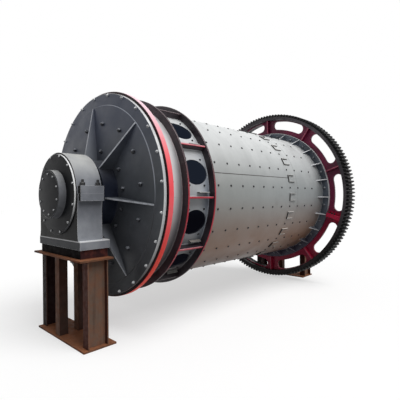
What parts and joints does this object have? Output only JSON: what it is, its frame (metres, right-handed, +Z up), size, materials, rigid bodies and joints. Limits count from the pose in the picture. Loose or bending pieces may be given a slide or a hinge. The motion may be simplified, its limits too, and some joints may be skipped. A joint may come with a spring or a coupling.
{
  "type": "rod mill",
  "caption": "Rod mill: ribbed steel drum with peripheral discharge ports and a split ring gear, turning in pedestal bearings on short steel stands.",
  "frame": {"origin": "floor level, at the middle of the mill's length and under the drum's axis", "axes": "+X along the drum's axis towards the ring gear, +Z up, -Y the side with the first lengthwise seam"},
  "size_m": [5.006, 3.08, 3.1119],
  "materials": {
    "stand_steel": "bare structural steel with brown mill rust",
    "packing": "near-black, dull",
    "bearing_grey": "grey primer on a casting, satin",
    "bearing_end_plate": "dark grey paint, satin",
    "cover_charcoal": "charcoal paint on a casting, satin",
    "trunnion_steel": "dark grey paint, machined journal",
    "red_flange": "red oxide primer, satin",
    "port_flange_black": "near-black with red edges",
    "shell_grey": "light grey paint, semi-gloss, stained",
    "flange_slate": "slate blue-grey paint, satin",
    "gear_maroon": "maroon primer",
    "gear_rim_black": "graphite rim with bare, dark cut teeth"
  },
  "bodies": {
    "stands": {"front_base_plate": "stand_steel", "front_end_beams": "stand_steel", "front_middle_posts": "stand_steel", "front_top_plate": "stand_steel", "front_packing_block": "packing", "front_bearing_housing": "bearing_grey", "front_bearing_cap": "bearing_grey", "front_bearing_end_plate": "bearing_end_plate", "rear_base_plate": "stand_steel", "rear_end_beams": "stand_steel", "rear_middle_posts": "stand_steel", "rear_top_plate": "stand_steel", "rear_packing_block": "packing", "rear_bearing_housing": "bearing_grey", "rear_bearing_cap": "bearing_grey", "rear_bearing_end_plate": "bearing_end_plate"},
    "drum": {"front_end_cover": "cover_charcoal", "front_cover_ribs": "cover_charcoal", "front_trunnion": "trunnion_steel", "rear_end_cover": "cover_charcoal", "rear_cover_ribs": "cover_charcoal", "rear_trunnion": "trunnion_steel", "discharge_end_flange": "red_flange", "port_flange_front": "port_flange_black", "port_flange_rear": "port_flange_black", "port_ribs": "port_flange_black", "port_bars": "shell_grey", "port_shell_upper_near": "shell_grey", "port_shell_upper_far": "shell_grey", "port_shell_lower_far": "shell_grey", "port_shell_lower_near": "shell_grey", "shell_plate_upper_near": "shell_grey", "shell_plate_upper_far": "shell_grey", "shell_plate_lower_far": "shell_grey", "shell_plate_lower_near": "shell_grey", "shell_clips": "shell_grey", "gear_flange": "flange_slate", "gear_flange_gussets": "flange_slate", "ring_gear_rim_upper": "gear_rim_black", "ring_gear_rim_lower": "gear_rim_black", "ring_gear_web_upper": "gear_maroon", "ring_gear_web_lower": "gear_maroon", "ring_gear_ribs_upper": "gear_maroon", "ring_gear_ribs_lower": "gear_maroon"}
  },
  "joints": [
    {"name": "drum_spin", "type": "hinge", "parent": "stands", "child": "drum", "pos_m": [0, 0, 1.572], "axis": [1, 0, 0], "continuous": true}
  ]
}
